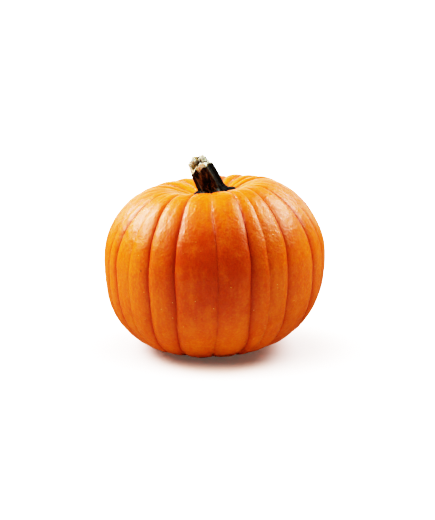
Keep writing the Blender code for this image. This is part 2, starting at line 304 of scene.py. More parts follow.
# faint lines between the furrows: bearing, strength, drifts as above
faintLines = [
    (-91.0, 0.22, 0.0, 0.0),
    (-51.5, 0.12, 3.0, 6.0),
    (-26.0, 0.18, -2.0, -4.0),
    (-12.5, 0.14, -2.0, -3.0),
    (-5.0, 0.06, -2.0, -2.0),
    (9.5, 0.12, 1.0, 2.0),
    (32.0, 0.10, 4.0, 5.0),
    (48.0, 0.14, 2.0, 5.0),
    (64.5, 0.16, -2.0, 4.0),
    (80.0, 0.18, -9.0, 1.0),
    (112.0, 0.16, -4.0, 1.0),
    (133.0, 0.22, 2.0, -1.0),
    (158.0, 0.14, 1.0, 2.0),
    (181.0, 0.20, -2.0, 0.0),
    (204.0, 0.16, 2.0, 1.0),
    (226.0, 0.20, -1.0, 0.0),
    (247.0, 0.12, 1.0, 1.0),
]


def furrowTable():
    # the front's furrows, then the back's, spread by a seeded draw; then each one's overlap and three phases
    draw = random.Random(ribs["seed"])
    rows = [list(row) for row in frontFurrows]
    start = frontFurrows[-1][0]
    span = frontFurrows[0][0] + 360.0 - start
    for number in range(1, ribs["backCount"] + 1):
        bearing = start + span * number / (ribs["backCount"] + 1)
        bearing += draw.uniform(-ribs["backJitter"], ribs["backJitter"])
        strength = draw.uniform(*ribs["backStrengths"])
        drifts = [draw.uniform(-ribs["backDrift"], ribs["backDrift"]) for _ in range(2)]
        rows.append([bearing, strength] + drifts)
    for row in rows:
        if row[0] <= frontFurrows[-1][0]:
            row.append(ribs["overlap"] * math.tanh(row[0] / ribs["overlapTurn"]))
        else:
            row.append(draw.uniform(-ribs["backOverlap"], ribs["backOverlap"]))
        row += [draw.uniform(0, 2 * math.pi) for _ in range(3)]
    return np.array(rows)


def furrowLine(bearing, crownDrift, blossomDrift, polar):
    drift = np.where(np.cos(polar) > 0, crownDrift, blossomDrift)
    return np.radians(bearing + drift * np.cos(polar) ** 2)


def wanderingFurrow(table, index, polar):
    row = table[index]
    sway = sum(share * np.sin(waves * polar + phase)
               for (waves, share), phase in zip(ribs["waves"], row[:, 5:8].T))
    sway = math.radians(ribs["wander"]) * np.sin(polar) * sway
    return furrowLine(row[:, 0], row[:, 2], row[:, 3], polar) + sway


def fruitProfile(polar):
    # radius and height of the smooth fruit at a polar angle, which is 0 at the crown
    up = np.cos(polar)
    top = up > 0
    fullness = np.where(top, fruitShape["topFullness"], fruitShape["bottomFullness"])
    radius = fruitShape["width"] / 2 * np.abs(np.sin(polar)) ** (2 / fullness)
    height = np.where(top, fruitShape["topHeight"], -fruitShape["bottomHeight"])
    height = height * np.abs(up) ** (2 / fullness)
    crownDepth, crownRadius = fruitShape["crownHollow"]
    blossomDepth, blossomRadius = fruitShape["blossomHollow"]
    crown = crownDepth * np.exp(-(radius / crownRadius) ** 2)
    blossom = blossomDepth * np.exp(-(radius / blossomRadius) ** 2)
    return radius, height + np.where(top, -crown, blossom)


def smoothFruit():
    # a UV sphere with its columns moved onto the furrows; what the ribs need is stored on its vertices
    table = furrowTable()
    count, perRib = len(table), fruitShape["columnsPerRib"]
    columns = count * perRib
    bm = bmesh.new()
    bmesh.ops.create_uvsphere(bm, u_segments=columns, v_segments=fruitShape["rings"], radius=1.0)
    mesh = meshFrom(bm, "pumpkinFruit")
    ball = placesOf(mesh)
    ring = np.arccos(np.clip(ball[:, 2], -1, 1)) / np.pi
    polar = np.pi * (ring - fruitShape["poleCrowding"] * np.sin(2 * np.pi * ring))
    turn = np.arctan2(ball[:, 0], -ball[:, 1]) / (2 * np.pi)
    column = np.round(turn * columns).astype(int) % columns
    rib = column // perRib
    step = (column % perRib) / perRib
    share = step - fruitShape["creaseCrowding"] * np.sin(2 * np.pi * step) / (2 * np.pi)

    following = (rib + 1) % count
    left = wanderingFurrow(table, rib, polar)
    right = wanderingFurrow(table, following, polar) + np.where(following == 0, 2 * np.pi, 0.0)
    bearing = left + (right - left) * share
    radius, height = fruitProfile(polar)
    ribWidth = np.maximum(radius * (right - left), 1e-6)
    x, y = radius * np.sin(bearing), -radius * np.cos(bearing)
    tiltFade = np.exp(-(radius / fruitShape["crownTiltRadius"]) ** 2)
    rise = fruitShape["sideTilt"] * x + np.where(height > 0, fruitShape["crownTilt"] * x * tiltFade, 0.0)
    sideways = fruitShape["sideLean"] * height + fruitShape["sideBow"] * height ** 2
    floor = -fruitShape["bottomHeight"] + fruitShape["flatSpotRise"]
    mesh.vertices.foreach_set("co", np.stack([x - sideways, y, height + rise - floor], 1).ravel())

    draw = random.Random(ribs["seed"] + 1)
    low, high = 1 - ribs["ribCrownVariation"], 1 + ribs["ribCrownVariation"]
    crowns = np.array([ribs["ribCrown"] * draw.uniform(low, high) for _ in range(count)])
    shoulderRadius, shoulderReach = ribs["shoulder"]
    everywhere, atFront = ribs["shoulderDeepening"]
    shoulder = np.exp(-((radius - shoulderRadius) / shoulderReach) ** 2) * (np.cos(polar) > 0)
    shoulder *= everywhere + atFront * np.cos(bearing)
    poleFade = 1 - np.exp(-(radius / ribs["poleFade"]) ** 2)
    faint = np.zeros(len(polar))
    for faintBearing, strength, crownDrift, blossomDrift in faintLines:
        line = furrowLine(faintBearing, crownDrift, blossomDrift, polar)
        away = (bearing - line + np.pi) % (2 * np.pi) - np.pi
        faint += strength * np.exp(-(away * radius / ribs["faintReach"]) ** 2)

    halfWidth = fruitShape["width"] / 2
    fields = {
        "leftGap": share * ribWidth,
        "rightGap": (1 - share) * ribWidth,
        "leftStrength": table[rib, 1],
        "rightStrength": table[following, 1],
        "leftReach": 1 + table[rib, 4],
        "rightReach": 1 - table[following, 4],
        "ribShare": share,
        "ribWidth": ribWidth,
        "ribCrown": crowns[rib] * poleFade,
        "creaseScale": np.minimum(ribWidth / ribs["fullDepthRib"], 1) * (1 + shoulder) * poleFade,
        "faintCut": faint * poleFade,
        "poleFade": poleFade,
        "polarShare": polar / np.pi,
        "streakMap": np.stack([np.sin(bearing), -np.cos(bearing), polar], 1) * halfWidth,
    }
    for name, values in fields.items():
        storeField(mesh, name, values)
    return newPiece("pumpkinFruit", mesh)


reliefSizes = {
    "Crease depth": 0.0025,
    "Crease sharpness": 0.0018,
    "Crease share": 0.62,  # the rest of the depth is a broad dip
    "Dip reach": 0.0102,
    "Narrow limit": 0.10,  # shares of a rib's width
    "Dip limit": 0.30,
    "Faint depth": 0.0016,
    "Dent depth": 0.0011,
    "Dent size": 0.021,
    "Pock depth": 0.00080,
    "Pock size": 0.0058,
}


def ribReliefTree(sizes):
    # pushes the smooth body in at its creases and faint lines, rounds each rib, and dents the skin
    tree, add, given = newTree("rib relief", sizes)
    field = {}
    for name in ("leftGap", "rightGap", "leftStrength", "rightStrength", "leftReach", "rightReach",
                 "ribShare", "ribWidth", "ribCrown", "creaseScale", "faintCut", "poleFade"):
        field[name] = add("GeometryNodeInputNamedAttribute", {"Name": name}, data_type="FLOAT")

    narrowest = add("ShaderNodeMath", {0: field["ribWidth"], 1: given["Narrow limit"]},
                    operation="MULTIPLY")
    sharp = add("ShaderNodeMath", {0: given["Crease sharpness"], 1: narrowest}, operation="MINIMUM")
    widest = add("ShaderNodeMath", {0: field["ribWidth"], 1: given["Dip limit"]}, operation="MULTIPLY")
    reach = add("ShaderNodeMath", {0: given["Dip reach"], 1: widest}, operation="MINIMUM")
    broadShare = add("ShaderNodeMath", {0: 1.0, 1: given["Crease share"]}, operation="SUBTRACT")
    cuts = []
    for side in ("left", "right"):
        gap = add("ShaderNodeMath", {0: field[side + "Gap"], 1: field[side + "Reach"]}, operation="DIVIDE")
        steps = add("ShaderNodeMath", {0: gap, 1: sharp}, operation="DIVIDE")
        steps = add("ShaderNodeMath", {0: steps, 1: -1.0}, operation="MULTIPLY")
        narrow = add("ShaderNodeMath", {0: steps}, operation="EXPONENT")
        steps = add("ShaderNodeMath", {0: gap, 1: reach}, operation="DIVIDE")
        steps = add("ShaderNodeMath", {0: steps, 1: 2.0}, operation="POWER")
        steps = add("ShaderNodeMath", {0: steps, 1: -1.0}, operation="MULTIPLY")
        broad = add("ShaderNodeMath", {0: steps}, operation="EXPONENT")
        broad = add("ShaderNodeMath", {0: broad, 1: broadShare}, operation="MULTIPLY")
        both = add("ShaderNodeMath", {0: narrow, 1: given["Crease share"], 2: broad},
                   operation="MULTIPLY_ADD")
        cuts.append(add("ShaderNodeMath", {0: both, 1: field[side + "Strength"]}, operation="MULTIPLY"))
    cut = add("ShaderNodeMath", {0: cuts[0], 1: cuts[1]}, operation="ADD")
    cut = add("ShaderNodeMath", {0: cut, 1: field["creaseScale"]}, operation="MULTIPLY")

    offMiddle = add("ShaderNodeMath", {0: field["ribShare"], 1: 2.0, 2: -1.0}, operation="MULTIPLY_ADD")
    offMiddle = add("ShaderNodeMath", {0: offMiddle, 1: 2.0}, operation="POWER")
    relief = add("ShaderNodeMath", {0: offMiddle, 1: field["ribCrown"]}, operation="MULTIPLY")
    relief = add("ShaderNodeMath", {0: cut, 1: given["Crease depth"], 2: relief}, operation="MULTIPLY_ADD")
    relief = add("ShaderNodeMath", {0: field["faintCut"], 1: given["Faint depth"], 2: relief},
                 operation="MULTIPLY_ADD")

    place = add("GeometryNodeInputPosition")
    for label in ("Dent", "Pock"):
        scale = add("ShaderNodeMath", {0: 1.0, 1: given[label + " size"]}, operation="DIVIDE")
        lumps = unevenness(add, place, scale, 1.0, field["poleFade"])
        relief = add("ShaderNodeMath", {0: lumps, 1: given[label + " depth"], 2: relief},
                     operation="MULTIPLY_ADD")

    inwards = add("ShaderNodeMath", {0: relief, 1: -1.0}, operation="MULTIPLY")
    pressed = pushOut(add, given["Geometry"], inwards)
    marked = add("GeometryNodeStoreNamedAttribute",
                 {"Geometry": pressed, "Name": "creaseCut", "Value": cut}, data_type="FLOAT",
                 domain="POINT")

    # what would reach below the table is worn flat
    settled = add("GeometryNodeInputPosition")
    split = add("ShaderNodeSeparateXYZ", {0: settled}).node
    lifted = add("ShaderNodeMath", {0: split.outputs["Z"], 1: 0.0}, operation="MAXIMUM")
    worn = add("ShaderNodeCombineXYZ", {"X": split.outputs["X"], "Y": split.outputs["Y"], "Z": lifted})
    flat = add("GeometryNodeSetPosition", {"Geometry": marked, "Position": worn})
    finishTree(add, flat, given["Material"])
    return tree


# mottling of the rind: drawn along the ribs or not, size, squash, noise levels, share, colour
rindMottling = [
    (True, 0.0160, 0.60, 0.30, 0.72, 1.00, "#EA7210"),  # soft blotches
    (True, 0.0030, 0.08, 0.42, 0.78, 0.30, "#F08416"),  # streaks down the ribs
    (False, 0.0040, 1.00, 0.44, 0.74, 0.34, "#D85206"),  # light and dark grain
    (False, 0.0022, 1.00, 0.44, 0.74, 0.42, "#F29024"),
    (False, 0.0012, 1.00, 0.44, 0.74, 0.30, "#DC5A08"),
]

# what follows the creases, or the way from the crown at 0 to the blossom end at 1: from, to, share, colour
rindZones = {
    "creases": (0.08, 0.90, 0.75, "#B83C04"),  # painted shade: darker and redder in the creases
    "crown": (0.16, 0.05, 0.25, "#F0921A"),
    "greening": (0.13, 0.05, 0.50, "#C9A22A"),  # in streaks
    "blossomEnd": (0.90, 0.99, 0.60, "#EFA648"),
}

# patterns: size, noise levels, share, detail, squash
# spots: spacing, outer and inner edge, how rare they are, colour channel that picks them, share
rindFinish = {
    "ground": "#E4650A",
    # painted shade: a darker, redder patch on the front of the rind
    "paintedFrontShade": ((-0.004, -0.125, 0.174), 0.086, 0.018, 0.78, "#CC4304"),  # place, outer and inner edge, share
    "paintedFrontShadePatches": (0.013, 0.15, 0.62, 1.0, 3.0, 0.7),
    "greeningStreaks": (0.004, 0.50, 0.72, 1.0, 2.0, 0.15),
    "pores": (0.006, 0.085, 0.045, 0.72, "Red"),
    "scabs": (0.024, 0.075, 0.045, 0.80, "Green", 0.75),
    "scabRaggedness": (0.003, 0.005),  # size and reach
    "wax": (0.006, 0.35, 0.65, 1.0, 4.0),  # it is uneven
    "roughness": (0.28, 0.46),
    "peel": (0.0026, 0.9, 0.00065),  # orange-peel dimples: size, strength, depth
}


def waxyRind():
    # Ripe pumpkin rind: a thin waxy skin over firm flesh. Deep orange with paler mottling, and a satin gloss.
    material, add, shader = newMaterial("waxy pumpkin rind", {
        "IOR": 1.45,
        "Subsurface Weight": 0.10,
        "Subsurface Radius": (1.0, 0.35, 0.10),
        "Subsurface Scale": 0.003,
        "Specular IOR Level": 0.32,
        "Coat Weight": 0.07,
        "Coat Roughness": 0.16,
        "Coat IOR": 1.4,
    })
    place = add("ShaderNodeTexCoord", give="Object")
    streak = add("ShaderNodeAttribute", attribute_name="streakMap", give="Vector")
    polar = add("ShaderNodeAttribute", attribute_name="polarShare", give="Fac")
    crease = add("ShaderNodeAttribute", attribute_name="creaseCut", give="Fac")

    layers = []
    for along, size, squash, low, high, share, shade in rindMottling:
        where = streak if along else place
        layers.append((patternMask(add, where, size, low, high, share, 3.0, squash), shade))

    # painted shade: darker and redder on the front, which no lamp lights
    middle, outer, inner, share, shade = rindFinish["paintedFrontShade"]
    away = add("ShaderNodeVectorMath", {0: streak, 1: middle}, operation="DISTANCE", give="Value")
    paintedFrontShade = add("ShaderNodeMapRange",
                {"Value": away, "From Min": outer, "From Max": inner, "To Max": share},
                interpolation_type="SMOOTHSTEP")
    uneven = patternMask(add, streak, *rindFinish["paintedFrontShadePatches"])
    layers.append((add("ShaderNodeMath", {0: paintedFrontShade, 1: uneven}, operation="MULTIPLY"), shade))

    # the layer that follows the creases is painted shade
    for zone, (start, end, share, shade) in rindZones.items():
        limits = {"From Min": start, "From Max": end, "To Max": share}
        limits["Value"] = crease if zone == "creases" else polar
        mask = add("ShaderNodeMapRange", limits)
        if zone == "greening":
            streaks = patternMask(add, streak, *rindFinish["greeningStreaks"])
            mask = add("ShaderNodeMath", {0: streaks, 1: mask}, operation="MULTIPLY")
        layers.append((mask, shade))

    # sparse pale pores, and a few dry brown scabs where the skin was grazed
    layers.append((spotMask(add, place, *rindFinish["pores"]), "#F9C47A"))
    size, reach = rindFinish["scabRaggedness"]
    torn = add("ShaderNodeTexNoise", {"Vector": place, "Scale": 1 / size, "Detail": 3.0}, give="Color")
    torn = add("ShaderNodeVectorMath", {0: torn, "Scale": reach}, operation="SCALE")
    torn = add("ShaderNodeVectorMath", {0: place, 1: torn}, operation="ADD")
    layers.append((spotMask(add, torn, *rindFinish["scabs"]), "#8A4A1C"))

    colour = linear(rindFinish["ground"])
    for mask, shade in layers:
        colour = add("ShaderNodeMix", {"Factor": mask, "A": colour, "B": linear(shade)}, give="Result",
                     data_type="RGBA")
    wax = patternMask(add, place, *rindFinish["wax"])
    smoothest, roughest = rindFinish["roughness"]
    rough = add("ShaderNodeMapRange", {"Value": wax, "To Min": smoothest, "To Max": roughest})
    size, strength, depth = rindFinish["peel"]
    peel = add("ShaderNodeTexNoise", {"Vector": place, "Scale": 1 / size, "Detail": 3.0})
    peeled = add("ShaderNodeBump", {"Height": peel, "Strength": strength, "Distance": depth})
    setInputs(shader, {"Base Color": colour, "Roughness": rough, "Normal": peeled})
    return material


fruit = smoothFruit()
reliefSizes["Material"] = waxyRind()
runTree(fruit, ribReliefTree(reliefSizes), reliefSizes)


def centreOn(piece, node):
    # shifts a piece so that its box stands over the same middle as a CAD node's box
    low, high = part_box(node)
    places = placesOf(piece.data)
    middle = (places.min(0) + places.max(0)) / 2
    shift = Vector(((low.x + high.x) / 2 - middle[0], (low.y + high.y) / 2 - middle[1], 0.0))
    piece.data.transform(Matrix.Translation(shift))
    return shift


fruitShift = centreOn(fruit, "fruit")
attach(fruit, "root")
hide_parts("fruit")
print("fruit", len(fruit.data.polygons), "faces, moved", [round(v * 1000, 2) for v in fruitShift], "mm")


# Stem: a fluted column of dry bark on five spread toes

stem = {
    "radius": 0.0125,
    "foot": (-0.0024, 0.0),  # from the fruit's own axis
    "end": (-0.0140, -0.0067, 0.0977),  # from the middle of the fruit's widest level
    "footDirection": (-0.06, 0.0, 1.0),
    "endDirection": (-0.402, -0.347, 0.847),
    "footHandle": 0.008,
    "endHandle": 0.018,
    "footSwell": 0.12,  # how much thicker the column is at its foot
    "columnStart": 0.58,  # share of the stem's length; below it the foot blends into the column
    "ridgeBearings": (-98.0, -33.0, 24.0, 92.0, 165.0),
    "ridgeHeight": 0.0022,
    "ridgeSpread": 14.0,
    "grooveDepth": 0.0010,
    "toeBearings": (-80.0, -33.0, 24.0, 92.0, 165.0),
    "toeReach": (0.0056, 0.0050, 0.0055, 0.0078, 0.0070),
    "toeSpread": 20.0,
    "footFlare": 0.0016,
    "toeThickness": 0.0026,
    "toeFade": 0.55,  # how bluntly a toe ends: 0 is square
    "leftToeBlunting": (0.27, 26.0),  # amount and spread: the left toe ends in a knob
    "toeGrain": 0.2,  # share of the stem's length that the bark's pattern runs on over a toe
    "toeRise": 2.9,  # height of the foot against the column, in toe thicknesses
    "sunk": 0.0003,  # the foot is grown into the rind
    "barkThickness": 0.0013,
    "socketDepth": 0.0030,
    "columns": 180,
    "soleRings": (0.3, 0.65, 1.0),  # under the foot, out to the toes
    "footRings": (0.985, 0.16, 16),  # from the toes in, and how many
    "blendRings": 12,
    "columnRings": 40,
    "swells": ((-92.0, 50.0, 0.0010, 0.0012), (80.0, 42.0, 0.0026, 0.0006)),  # bearing, spread, foot, end
    "ridgeTurns": (0.0, 0.0, 17.0, 0.0, 0.0),  # degrees that each ridge turns on its way up
    "turnedBy": 0.35,  # share of the stem's length
    "minorBearings": (-66.0, -8.0, 57.0, 128.0, -140.0),
    "minorHeight": 0.0008,
    "minorSpread": 9.0,
    "crestSpread": 5.0,  # degrees
    "crestWearAndHighlight": (0.15, 0.2, 1.0, 0.3, 0.5),  # how much each ridge's crest is paler: rubbed wear, and a painted highlight on the brightest one
    "paleGreyAndPaintedLight": ((-22.0, 42.0, 0.80), (20.0, 15.0, 1.0), (190.0, 60.0, 0.4)),  # bearing, spread, share of paler grey; on the front it is painted light where the bark sits in shade
    "edgeJag": 0.0008,
    "seed": 5,
}

# bearing, height of the bark's torn edge past the stem's end
barkEdge = [
    (-172.0, 0.0080),
    (-150.0, 0.0062),
    (-125.0, 0.0026),
    (-108.0, -0.0034),
    (-96.0, -0.0040),
    (-84.0, -0.0021),
    (-72.0, -0.0006),
    (-60.0, 0.0008),
    (-48.0, 0.0022),
    (-36.0, 0.0034),
    (-28.0, 0.0054),
    (-20.0, 0.0078),
    (-14.0, 0.0006),
    (-3.0, 0.0022),
    (12.0, 0.0044),
    (24.0, 0.0063),
    (48.0, 0.0055),
    (60.0, 0.0054),
    (72.0, 0.0043),
    (84.0, 0.0035),
    (96.0, 0.0022),
    (108.0, 0.0022),
    (120.0, 0.0045),
    (132.0, 0.0070),
    (146.0, 0.0074),
    (162.0, 0.0064),
]


def readOutline(points, bearing):
    bearings, heights = zip(*points)
    return float(np.interp(bearing, bearings, heights, period=360.0))


def bump(bearing, centre, spread):
    away = (bearing - centre + 180.0) % 360.0 - 180.0
    return math.exp(-(away / spread) ** 2)


def ridgeCentres(share):
    # bearings of the ridges at a share of the stem's length
    turned = min(share / stem["turnedBy"], 1.0)
    return [foot + turn * turned for foot, turn in zip(stem["ridgeBearings"], stem["ridgeTurns"])]


def columnRadius(bearing, share):
    ridges = sum(bump(bearing, centre, stem["ridgeSpread"]) for centre in ridgeCentres(share))
    minor = sum(bump(bearing, centre, stem["minorSpread"]) for centre in stem["minorBearings"])
    swollen = stem["radius"] * (1 + stem["footSwell"] * (1 - share) ** 2) + stem["minorHeight"] * minor
    for centre, spread, atFoot, atEnd in stem["swells"]:
        swollen += (atFoot + (atEnd - atFoot) * share ** 2) * bump(bearing, centre, spread)
    relief = stem["ridgeHeight"] + stem["grooveDepth"]
    return swollen - stem["grooveDepth"] + relief * min(ridges, 1.0) - stem["ridgeHeight"] / 2


def toeRadius(bearing):
    radius = columnRadius(bearing, 0.0) + stem["footFlare"]
    for centre, reach in zip(stem["toeBearings"], stem["toeReach"]):
        radius += reach * bump(bearing, centre, stem["toeSpread"])
    return radius


def fruitTree():
    bm = bmesh.new()
    bm.from_mesh(fruit.data)
    tree = BVHTree.FromBMesh(bm)
    bm.free()
    return tree


skin = fruitTree()
widestLevel = fruitShift + Vector((0.0, 0.0, fruitShape["bottomHeight"] - fruitShape["flatSpotRise"]))


def onSkin(x, y, above=0.0):
    hit = skin.ray_cast(Vector((x, y, 1.0)), Vector((0.0, 0.0, -1.0)))[0]
    return Vector((x, y, hit.z + above))


stemStart = onSkin(stem["foot"][0] + fruitShift.x, stem["foot"][1] + fruitShift.y)
stemEnd = widestLevel + Vector(stem["end"])
firstHandle = stemStart + Vector(stem["footDirection"]).normalized() * stem["footHandle"]
lastHandle = stemEnd - Vector(stem["endDirection"]).normalized() * stem["endHandle"]


def stemPath(share):
    # middle line of the stem, and its direction
    rest = 1 - share
    point = stemStart * rest ** 3 + firstHandle * (3 * rest * rest * share)
    point += lastHandle * (3 * rest * share * share) + stemEnd * share ** 3
    along = (firstHandle - stemStart) * (rest * rest)
    along += (lastHandle - firstHandle) * (2 * rest * share)
    along += (stemEnd - lastHandle) * (share * share)
    return point, along.normalized()


def placeOnStem(share, bearing, radius, past=0.0):
    point, along = stemPath(share)
    right = (Vector((1.0, 0.0, 0.0)) - along * along.x).normalized()
    back = along.cross(right)
    angle = math.radians(bearing)
    return point + along * past + (right * math.sin(angle) - back * math.cos(angle)) * radius


def stemBarkMesh():
    # rings from under the foot, out to the toes, up the column and down into the socket of the torn end
    draw = random.Random(stem["seed"])
    bearings = [360.0 * i / stem["columns"] for i in range(stem["columns"])]
    jags = [draw.uniform(-1, 1) * stem["edgeJag"] for _ in bearings]
    edge = [readOutline(barkEdge, b) + jag for b, jag in zip(bearings, jags)]
    lengths = (stemEnd - stemStart).length

    def mapped(place, bearing, along, fresh=0.0):
        share = min(max(along / lengths, 0.0), 1.0)
        angle = math.radians(bearing)
        around = Vector((math.sin(angle) * stem["radius"], -math.cos(angle) * stem["radius"], along))
        # paler crests: rubbed wear and a painted highlight
        crest = sum(wearAndHighlight * bump(bearing, centre, stem["crestSpread"])
                    for centre, wearAndHighlight in zip(ridgeCentres(share), stem["crestWearAndHighlight"]))
        # paler grey patches: on the front, painted light where the bark is shaded
        paleGreyAndPaintedLight = max(weight * bump(bearing, centre, spread)
                        for centre, spread, weight in stem["paleGreyAndPaintedLight"])
        return place, around, Vector((fresh, crest, paleGreyAndPaintedLight))

    def drape(share, under=False):
        ring = []
        above = -stem["sunk"]
        amount, spread = stem["leftToeBlunting"]
        for bearing in bearings:
            if not under:
                fade = stem["toeFade"] - amount * bump(bearing, stem["toeBearings"][0], spread)
                above = stem["toeThickness"] * stem["toeRise"] * (1 - share) ** fade - stem["sunk"]
            column = 0.0 if under else columnRadius(bearing, 0.0)
            radius = toeRadius(bearing) * share + column * (1 - share)
            angle = math.radians(bearing)
            x, y = stemStart.x + radius * math.sin(angle), stemStart.y - radius * math.cos(angle)
            ring.append(mapped(onSkin(x, y, above), bearing, -stem["toeGrain"] * lengths * share))
        return ring

    rings = [drape(share, under=True) for share in stem["soleRings"]]
    rings += [drape(share) for share in np.linspace(*stem["footRings"])]
    foot, before = rings[-1], rings[-2]
    for number in range(1, stem["blendRings"]):
        t = number / stem["blendRings"]
        ring = []
        for i, bearing in enumerate(bearings):
            low = foot[i][0]
            high = placeOnStem(stem["columnStart"], bearing, columnRadius(bearing, stem["columnStart"]))
            reach = (high - low).length
            leave = (low - before[i][0]).normalized() * reach
            arrive = stemPath(stem["columnStart"])[1] * reach
            place = low * (2 * t**3 - 3 * t**2 + 1) + leave * (t**3 - 2 * t**2 + t)
            place += high * (3 * t**2 - 2 * t**3) + arrive * (t**3 - t**2)
            ring.append(mapped(place, bearing, t * stem["columnStart"] * lengths))
        rings.append(ring)
    for step in np.linspace(0.0, 1.0, stem["columnRings"]):
        share = stem["columnStart"] + (1 - stem["columnStart"]) * step
        ring = []
        for bearing, top in zip(bearings, edge):
            place = placeOnStem(share, bearing, columnRadius(bearing, share), top * step ** 3)
            ring.append(mapped(place, bearing, share * lengths + top * step ** 3))
        rings.append(ring)
    outer = [columnRadius(b, 1.0) for b in bearings]
    inner = [radius - stem["barkThickness"] for radius in outer]
    socket = [top - stem["socketDepth"] for top in edge]
    floor = sum(socket) / len(socket)
    half = [radius / 2 for radius in inner]
    halfDepth = [(past + floor) / 2 for past in socket]
    for radii, pasts in ((inner, edge), (inner, socket), (half, halfDepth)):
        rings.append([mapped(placeOnStem(1.0, b, radius, past), b, lengths + past, 1.0)
                      for b, radius, past in zip(bearings, radii, pasts)])
    top = mapped(placeOnStem(1.0, 0.0, 0.0, floor), 0.0, lengths, 1.0)
    bottom = mapped(onSkin(stemStart.x, stemStart.y, -stem["sunk"]), 0.0, 0.0)
    return loftMesh("stemBark", rings, bottom, top, ("barkMap", "barkMarks"))


barkSizes = {
    "Fibre depth": 0.0011,
    "Fibre width": 0.0011,
    "Fibre length": 0.011,
    "Wrinkle depth": 0.0007,
    "Wrinkle size": 0.0045,
}


def barkTree(sizes):
    # lengthwise fibres and wrinkles in the dry bark
    tree, add, given = newTree("dry bark relief", sizes)
    around = add("GeometryNodeInputNamedAttribute", {"Name": "barkMap"}, data_type="FLOAT_VECTOR")
    thin = add("ShaderNodeMath", {0: 1.0, 1: given["Fibre width"]}, operation="DIVIDE")
    long = add("ShaderNodeMath", {0: 1.0, 1: given["Fibre length"]}, operation="DIVIDE")
    scale = add("ShaderNodeCombineXYZ", {"X": thin, "Y": thin, "Z": long})
    strands = add("ShaderNodeVectorMath", {0: around, 1: scale}, operation="MULTIPLY")
    fibres = unevenness(add, strands, 1.0, 2.0, given["Fibre depth"])
    coarse = add("ShaderNodeMath", {0: 1.0, 1: given["Wrinkle size"]}, operation="DIVIDE")
    place = add("GeometryNodeInputPosition")
    wrinkles = unevenness(add, place, coarse, 2.0, given["Wrinkle depth"])
    relief = add("ShaderNodeMath", {0: wrinkles, 1: fibres}, operation="ADD")
    finishTree(add, pushOut(add, given["Geometry"], relief), given["Material"])
    return tree


# patterns and spots as for the rind
barkFinish = {
    "ground": "#0C0D0C",
    "fibres": (0.0010, 0.42, 0.72, 1.0, 3.0, 0.07),
    "patches": (0.0030, 0.40, 0.66, 1.0, 4.0, 0.30),
    "wearAndHighlight": (0.0035, 0.34, 0.60, 0.8, 2.0, 0.25),
    "fineFibres": (0.0005, 0.2, 0.8, 1.0, 3.0, 0.08),
    "fineDepth": 0.0006,
    "pores": (0.0022, 0.16, 0.09, 0.55, "Red", 0.8),
    "roughness": (0.50, 0.70),
}


def dryBark():
    # Dried pumpkin stem: woody skin, shrunk into ridges. Nearly black, with olive and brown on the ridges;
    # the paler crests are partly a painted highlight, and the paler grey on the front is painted light.
    material, add, shader = newMaterial("dry stem bark", {"IOR": 1.5, "Specular IOR Level": 0.10})
    around = add("ShaderNodeAttribute", attribute_name="barkMap", give="Vector")
    marks = add("ShaderNodeAttribute", attribute_name="barkMarks", give="Vector")
    marks = add("ShaderNodeSeparateXYZ", {0: marks}).node
    fibres = patternMask(add, around, *barkFinish["fibres"])
    layers = [(fibres, "#272822")]
    # paler grey on the front is painted light; the paler crests are rubbed wear with a painted highlight
    for pattern, mark, shade in (("patches", "Z", "#747A74"), ("wearAndHighlight", "Y", "#68766E")):
        mask = patternMask(add, around, *barkFinish[pattern])
        mask = add("ShaderNodeMath", {0: mask, 1: marks.outputs[mark]}, operation="MULTIPLY")
        layers.append((mask, shade))
    layers.append((spotMask(add, around, *barkFinish["pores"]), "#8C8468"))
    layers.append((marks.outputs["X"], "#A98C5C"))  # freshly torn

    colour = linear(barkFinish["ground"])
    for mask, shade in layers:
        colour = add("ShaderNodeMix", {"Factor": mask, "A": colour, "B": linear(shade)}, give="Result",
                     data_type="RGBA")
    smoothest, roughest = barkFinish["roughness"]
    rough = add("ShaderNodeMapRange", {"Value": fibres, "To Min": smoothest, "To Max": roughest})
    fine = patternMask(add, around, *barkFinish["fineFibres"])
    bumped = add("ShaderNodeBump", {"Height": fine, "Strength": 1.0, "Distance": barkFinish["fineDepth"]})
    setInputs(shader, {"Base Color": colour, "Roughness": rough, "Normal": bumped})
    return material


barkMaterial = dryBark()
barkSizes["Material"] = barkMaterial
stemBark = newPiece("stemBark", stemBarkMesh())
runTree(stemBark, barkTree(barkSizes), barkSizes)
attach(stemBark, "root")
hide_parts("stem")
print("stem bark", len(stemBark.data.polygons), "faces")


# Torn end: the pale wood inside the bark, broken open with a ragged rim and a hollow

tornEnd = {
    "gap": 0.0003,
    "faceSink": 0.0024,
    "faceCurve": 1.5,
    "hollowSteepness": 4,
    "hollowRaggedness": 0.45,
    "raggedSize": 0.0022,
    "calmFront": 0.95,  # the front of the rim broke cleanly
    "calmSpread": 85.0,
    "frontTaper": 0.24,  # the front of the rim slopes inwards
    "columns": 150,
    "sideRings": 10,
    "faceRings": 34,
}

# bearing, height of the torn wood's rim past the stem's end
woodRim = [
    (-165.0, 0.0125),
    (-150.0, 0.0152),
    (-138.0, 0.0122),
    (-120.0, 0.0120),
    (-108.0, 0.0116),
    (-96.0, 0.0098),
    (-84.0, 0.0062),
    (-72.0, 0.0040),
    (-60.0, 0.0048),
    (-48.0, 0.0060),
    (-36.0, 0.0074),
    (-24.0, 0.0084),
    (0.0, 0.0091),
    (24.0, 0.0114),
    (36.0, 0.0106),
    (48.0, 0.0094),
    (60.0, 0.0084),
    (72.0, 0.0072),
    (84.0, 0.0058),
    (96.0, 0.0056),
    (108.0, 0.0075),
    (120.0, 0.0104),
    (135.0, 0.0140),
    (150.0, 0.0112),
    (165.0, 0.0100),
]

